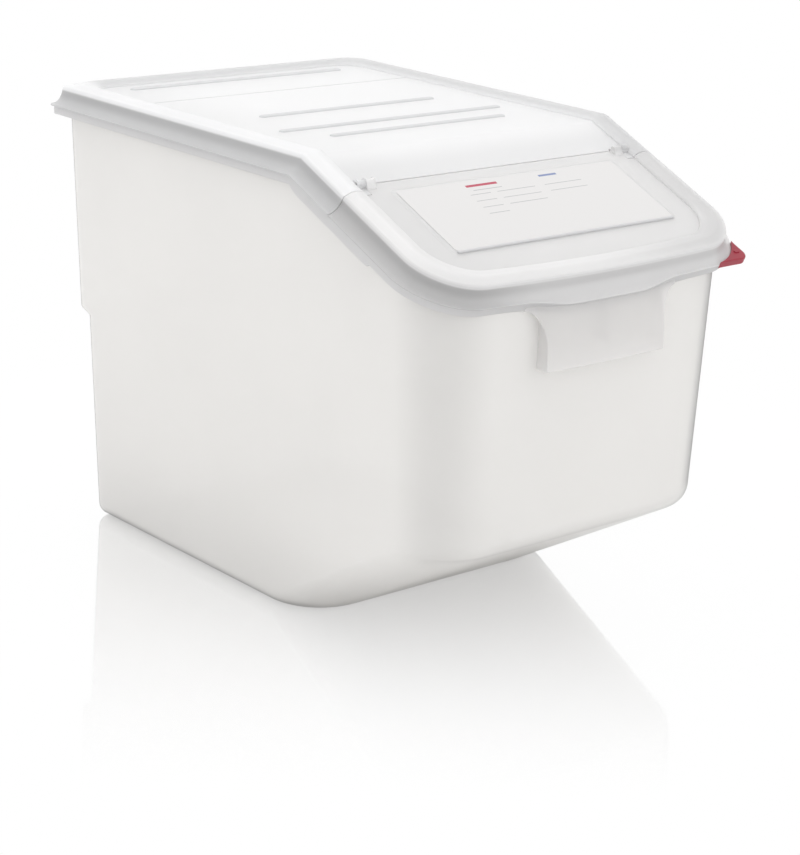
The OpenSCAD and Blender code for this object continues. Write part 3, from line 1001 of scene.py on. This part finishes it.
outer = cut_top(body_levels(0.0), ledge_n - ledge_t + 0.4 * mm)
inner = cut_top(body_levels(wall), ledge_n - ledge_t + 0.4 * mm)
body = Shell()
body.grid(outer, round_columns=True)
body.grid(inner, round_columns=True)
body.grid([outer[-1], inner[-1]], round_columns=True)
body.face(outer[0])
body.face(inner[0])
make_piece("body_shell", body, body_finish, "bin", "bin_body")

# %% [markdown]
# ## The rim of the body
# A thin upright wall carries the lid from inside. Round it runs a ledge for the
# lip to sit on, and a skirt hangs from the ledge and stiffens the mouth. The
# skirt is one loop of the same kind of rings as the rail, a little lower beside
# the hinge and at the handle.

# %% Rim, ledge and skirt
skirt_n = ledge_n - 7.6 * mm
skirt_low = skirt_n - 3.5 * mm
skirt_s = 126 * mm
ledge_out = cove_out - 2.5 * mm
wall_out = 3.6 * mm
rim_back = rear_y - back_high
rim_top = -skin - 0.4 * mm


def soft(value):
    share = np.clip(value, 0, 1)
    return share * share * (3 - 2 * share)


def hanging(x, v, share, height):
    """Height of a point of the skirt: the ledge follows the thumb tab, the edge its own line."""
    beside_hinge = soft(-v / (18 * mm)) * soft((v + skirt_s + 3 * mm) / (4 * mm))
    at_handle = np.where(share > 0.9, thumb(0.8 * x), 0.0)
    edge = skirt_n + (skirt_low - skirt_n) * np.maximum(beside_hinge * (share <= 0), at_handle)
    return np.where(height < skirt_n + 2 * mm, height - skirt_n + edge, height)


def rim_ring(w, back, front, n, tab=0.0):
    back_r = 4 * mm + 0.7 * w if w > 0 else 10 * mm + w / 2
    return Ring(w, n, tab, back, front, back_r)


def skirt_ring(inset, n):
    reach = end_share * ledge_out - inset
    return rim_ring(ledge_out - inset, reach, reach, n, 1.0)


edge_soft = 0.9 * mm
skirt_rings = [skirt_ring(edge_soft * (1 - math.sin(a)), ledge_n - edge_soft * (1 - math.cos(a)))
               for a in np.radians((0, 22, 45, 67, 90))]
skirt_rings += [skirt_ring(edge_soft * (1 - math.cos(a)), skirt_n + edge_soft * (1 - math.sin(a)))
                for a in np.radians((0, 22, 45, 67, 90))]
in_w = -wall_out - wall
in_front = in_w + 1 * mm
rim_rings = [
    rim_ring(in_w, -rim_back - wall, in_front, rim_top - 0.4 * mm),
    rim_ring(in_w + 0.4 * mm, -rim_back - wall + 0.4 * mm, in_front + 0.4 * mm, rim_top),
    rim_ring(-wall_out - 0.4 * mm, -rim_back - 0.4 * mm, -wall_out + 0.6 * mm, rim_top),
    rim_ring(-wall_out, -rim_back, -wall_out + 1 * mm, rim_top - 0.4 * mm),
    rim_ring(-wall_out + 0.8 * mm, -rim_back, -wall_out + 1.6 * mm, rim_top - 8 * mm),
    rim_ring(-1 * mm, -rim_back + 1 * mm, -1 * mm, ledge_n),
    *skirt_rings,
    skirt_ring(ledge_t - 0.3 * mm, skirt_n),
    skirt_ring(ledge_t, skirt_n + 0.3 * mm),
    skirt_ring(ledge_t + 0.2 * mm, ledge_n - ledge_t),
    rim_ring(in_w, -rim_back - wall, in_front, ledge_n - ledge_t),
]
rim_stations = -np.array([-9, 0, 9, 13, 18, 24, 60, 90, 122, 124, 126, 128, 130]) * mm
rim = Shell()
rim.grid(
    [ring.lifted(ring.loop(rim_stations), hanging) for ring in rim_rings],
    round_rows=True, round_columns=True,
)
make_piece("body_rim", rim, rim_finish, "bin", "bin_body")

# %% [markdown]
# ## The pull handle
# A hand reaches up behind a broad sheet that hangs from the skirt over the
# front wall. The sheet leans out to its lower edge and flares sideways where it
# meets the skirt. A web closes each end, and a shorter one stands in the middle.

# %% Handle: sheet and webs
pull_hw = 72 * mm
pull_z = 281 * mm
pull_y = -302 * mm
pull_t = 2.6 * mm
flare = 20 * mm
flare_from = 0.42
flare_to = 0.93
pull_bow = 2.5 * mm


def pull_head(x):
    half = rail_half + ledge_out
    out = bow * (1 - (x / half) ** 2) + tab_out * thumb(x)
    return fold(x, -slope_l - end_share * ledge_out - out + 0.2 * mm, skirt_n + 3 * mm)


def sheet_y(x, w):
    foot = pull_y + pull_bow * (x / pull_hw) ** 2
    return foot + (pull_head(x)[..., 1] - foot) * w ** 2.5


def pull_point(u, w):
    rise = np.clip((w - flare_from) / (flare_to - flare_from), 0, 1)
    x = u * (pull_hw + flare * (1 - np.sqrt(1 - rise * rise)))
    near = np.minimum(np.abs(x), pull_hw)
    out = (np.abs(x) - near) / flare
    y = sheet_y(near, w)
    y = y + (pull_head(np.array(pull_hw + flare))[1] - y) * out
    return np.stack([x, y, pull_z + w * (pull_head(x)[..., 2] - pull_z)], -1)


heights = [0, 0.1, 0.2, 0.3, 0.42, 0.5, 0.58, 0.66, 0.73, 0.79, 0.84, 0.88, 0.91, 0.93, 1.0]
u, w = np.meshgrid(np.linspace(-1, 1, 41), heights)
sheet_front = pull_point(u, w)
sheet_back = sheet_front + np.array([0, pull_t, 0])
handle = Shell()
handle.grid(sheet_front)
handle.grid(sheet_back)
for front_line, back_line in (
    (sheet_front[0], sheet_back[0]), (sheet_front[-1], sheet_back[-1]),
    (sheet_front[:, 0], sheet_back[:, 0]), (sheet_front[:, -1], sheet_back[:, -1]),
):
    handle.grid([front_line, back_line])
make_piece("pull_sheet", handle, pull_finish, "bin", "bin_body", bevel=0.7 * mm)


def web(shell, x, thickness, low):
    head_z = float(pull_head(np.array(x))[2])
    w = np.linspace((low - pull_z) / (head_z - pull_z), 0.96, 10)
    z = pull_z + w * (head_z - pull_z)
    y = sheet_y(np.array(x), w) + pull_t / 2
    line = np.column_stack([np.full(10, x - thickness / 2), y, z])
    wall_y = front_y + 1 * mm
    ends = [(x - thickness / 2, wall_y, z[-1]), (x - thickness / 2, wall_y, z[0])]
    shell.prism(np.concatenate([line, ends]), (thickness, 0, 0))


webs = Shell()
for side in (-1, 1):
    web(webs, side * (pull_hw - pull_t / 2), pull_t, pull_z)
web(webs, 0.0, 2.4 * mm, pull_z + 18 * mm)
make_piece("pull_webs", webs, pull_finish, "bin", "bin_body")

# %% [markdown]
# ## The label
# The label is a thin film with round corners, laid on the pad of the flap.

# %% Label sheet
label_t = 0.35 * mm
film = Shell()
film_rows = []
film_edge = 0.1 * mm
for inset, height in (
    (film_edge, 0.0), (0.0, film_edge), (0.0, label_t - film_edge), (film_edge, label_t)
):
    outline = rounded_box(label_w - 2 * inset, label_h - 2 * inset, 3 * mm)
    down = outline[:, 1] - label_s - label_h / 2
    film_rows.append(fold(outline[:, 0], down, pad_h - panel_drop + height))
film.grid(film_rows, round_columns=True)
film.face(film_rows[0])
film.face(film_rows[-1])
make_piece("label_film", film, label_finish, "flap", "label_sheet", crease=50)

# %% [markdown]
# ## The colour clip
# The clip slides under the lip at one front corner and fills the square corner
# outside the rounded rail. Its outline is a crescent: the lip on the inside, a
# squarer rounded corner on the outside. A small nub on top gives grip.

# %% Colour clip
clip_x = rail_half - 0.6 * mm
clip_s = slope_l + 11 * mm
clip_r = 9 * mm
clip_high = -14.5 * mm
clip_low = ledge_n - 2.4 * mm
clip_fit = 0.15 * mm


def evenly(line, count):
    """The same line with count points at even steps."""
    steps = np.concatenate([[0], np.cumsum(np.hypot(*np.diff(line, axis=0).T))])
    even = np.linspace(0, steps[-1], count)
    return np.column_stack([np.interp(even, steps, line[:, 0]), np.interp(even, steps, line[:, 1])])


def clip_inside(w, count):
    """The corner of the lip between the points where the clip's two sides meet it."""
    ring = Ring(w, 0.0)
    half = ring.front_half(np.array([-100 * mm])) * np.array([-1, 1])
    line = ring.bowed(half)
    keep = line[(line[:, 0] <= clip_x) & (line[:, 1] >= -clip_s) & (line[:, 1] < -clip_s + 60 * mm)]
    beside = line[::-1][line[::-1, 1] < -0.12]
    before = line[line[:, 0] > 0.1][::-1]
    side_y = np.interp(clip_x, beside[:, 0], beside[:, 1])
    front_x = np.interp(-clip_s, before[:, 1], before[:, 0])
    keep = np.concatenate([[(clip_x, side_y)], keep[keep[:, 0] > front_x], [(front_x, -clip_s)]])
    return evenly(keep, count)


def clip_outside(inside, count):
    corner = arc(clip_x - clip_r, -clip_s + clip_r, clip_r, -90, 14)[::-1]
    line = np.concatenate([[inside[0]], corner, [inside[-1]]])
    return evenly(line, count)


count = 60
inside = clip_inside(cove_out + clip_fit, count)
outside = clip_outside(inside, count)
gap = np.hypot(*(outside - inside).T)[:, None]
clip = Shell()
clip_rows = []
clip_top = ((3.0, 0.0), (1.2, 0.0), (0.6, 0.18), (0.2, 0.55), (0.0, 1.1))
clip_foot = ((0.0, 6.0), (0.3, 6.6), (1.2, 6.8), (3.0, 6.8))
for inset, n in (*clip_top, *clip_foot):
    share = np.minimum(inset * mm / np.maximum(gap, 1e-6), 0.45 * min(inset, 1.0))
    line = outside + (inside - outside) * share
    clip_rows.append(fold(line[:, 0], line[:, 1], clip_high - n * mm))
clip_rows.append(fold(inside[:, 0], inside[:, 1], clip_low))
clip_rows.append(fold(inside[:, 0], inside[:, 1], clip_high))
clip.grid(clip_rows, round_rows=True)
clip.face([row[0] for row in clip_rows])
clip.face([row[-1] for row in clip_rows])
hill(
    clip, 7 * mm, 4 * mm, 1.0 * mm,
    lambda x, y, z: fold(clip_x - 8 * mm + x, -clip_s + 10.5 * mm + y, clip_high + z),
    sunk=0.2 * mm, soft=0.7 * mm,
)
make_piece("clip_corner", clip, clip_finish, "clip", "colour_clip", crease=40)

# %% [markdown]
# ## The camera
# The photograph was taken from the front left and above, with a long lens. Its
# place, turn and focal length were solved from the edges of the bin.

# %% Camera at the photograph's place
photo_w = 800
photo_h = 855
camera_at = Vector((-1.430, -1.694, 0.8532))
turn = math.radians(-40.39)
tip = 0.3097
roll = 0.0379
focal_px = 2347.9
middle_px = (393.5, 421.9)

back = Vector((math.sin(turn) * math.cos(tip), -math.cos(turn) * math.cos(tip), math.sin(tip)))
level_right = Vector((math.cos(turn), math.sin(turn), 0.0))
level_up = back.cross(level_right)
right = level_right * math.cos(roll) + level_up * math.sin(roll)
up = level_up * math.cos(roll) - level_right * math.sin(roll)

lens = bpy.data.cameras.new("photo camera")
lens.sensor_fit = "AUTO"
lens.sensor_width = 36.0
lens.lens = focal_px / photo_h * lens.sensor_width
lens.shift_x = (photo_w / 2 - middle_px[0]) / photo_h
lens.shift_y = (middle_px[1] - photo_h / 2) / photo_h
lens.clip_start = 0.1
lens.clip_end = 40.0
camera = bpy.data.objects.new("photo camera", lens)
turned = Matrix((right, up, back)).transposed().to_4x4()
camera.matrix_world = Matrix.Translation(camera_at) @ turned
bpy.context.scene.collection.objects.link(camera)
bpy.context.scene.camera = camera
print("lens", round(lens.lens, 1), "mm, shift", round(lens.shift_x, 4), round(lens.shift_y, 4))

# %% [markdown]
# ## Floor and light
# The photograph has a white ground that mirrors the bin faintly, and the mirror
# image fades with distance from the foot. The floor is a white surface with a
# weak clear gloss over it, and the gloss dies away with distance from the bin.


# %% The floor
def floor_mesh(half):
    mesh = bpy.data.meshes.new("floor")
    corners = [(-half, -half, 0.0), (half, -half, 0.0), (half, half, 0.0), (-half, half, 0.0)]
    mesh.from_pydata(corners, [], [(0, 1, 2, 3)])
    return mesh


floor = bpy.data.objects.new("floor", floor_mesh(12.0))
bpy.context.scene.collection.objects.link(floor)
floor.location.z = -0.0004

floor_finish = bpy.data.materials.new("white floor")
floor_finish.use_nodes = True
floor_tree = floor_finish.node_tree
floor_tree.nodes.clear()
floor_start = Wire(floor_tree)
floor_place = floor_start.node("ShaderNodeTexCoord", output=object_place)
toward_viewer = (-0.645, -0.764, 0.0)
vector_value = 1
ahead = floor_place.node(
    "ShaderNodeVectorMath",
    {"operation": "DOT_PRODUCT"},
    {0: floor_place, 1: toward_viewer},
    output=vector_value,
)
around = floor_place.node(
    "ShaderNodeVectorMath", {"operation": "LENGTH"}, {0: floor_place}, output=vector_value
)
near = (1 - soft_step(ahead, 0.02, 0.53)) * (1 - soft_step(around, 0.5, 0.8))
white = floor_start.node("ShaderNodeEmission", None, {"Color": grey(1.0), "Strength": 1.0})
shade = floor_start.node("ShaderNodeBsdfDiffuse", None, {"Color": grey(0.9)})
mirror = floor_start.node("ShaderNodeBsdfGlossy", None, {"Color": grey(1.0), "Roughness": 0.06})
seen = floor_start.node("ShaderNodeLightPath", output=0)
plain_share = seen * (1 - 0.08 * near)
ground = floor_start.node("ShaderNodeMixShader", None, {0: plain_share, 1: shade, 2: white})
glossy = floor_start.node("ShaderNodeMixShader", None, {0: near * 0.6, 1: ground, 2: mirror})
floor_output = floor_tree.nodes.new("ShaderNodeOutputMaterial")
floor_tree.links.new(glossy.socket, floor_output.inputs["Surface"])
floor.data.materials.append(floor_finish)


# %% [markdown]
# A white room lights the bin evenly. Three soft lamps shape it: a large one
# overhead for the bright top, a weaker one on the front right and one behind.

# %% The white room and the soft lamps
world = bpy.data.worlds.new("white room")
bpy.context.scene.world = world
world.use_nodes = True
world_tree = world.node_tree
world_tree.nodes.clear()
world_start = Wire(world_tree)
room = world_start.node("ShaderNodeBackground", None, {"Color": grey(1.0), "Strength": 1.0})
world_output = world_tree.nodes.new("ShaderNodeOutputWorld")
world_tree.links.new(room.socket, world_output.inputs["Surface"])


def soft_lamp(name, place, aim, size, power):
    lamp = bpy.data.lights.new(name, "AREA")
    lamp.shape = "SQUARE"
    lamp.size = size
    lamp.energy = power
    holder = bpy.data.objects.new(name, lamp)
    holder.location = place
    holder.rotation_euler = (Vector(place) - Vector(aim)).to_track_quat("Z", "Y").to_euler()
    bpy.context.scene.collection.objects.link(holder)


bin_middle = (0.0, 0.0, 0.25)
soft_lamp("overhead", (0.1, 0.5, 2.2), bin_middle, 2.0, 14.0)
soft_lamp("front right", (1.6, -1.8, 1.2), bin_middle, 1.4, 5.0)
soft_lamp("behind left", (-2.0, 1.4, 1.0), bin_middle, 1.4, 5.0)

bpy.context.scene.view_settings.view_transform = "Standard"
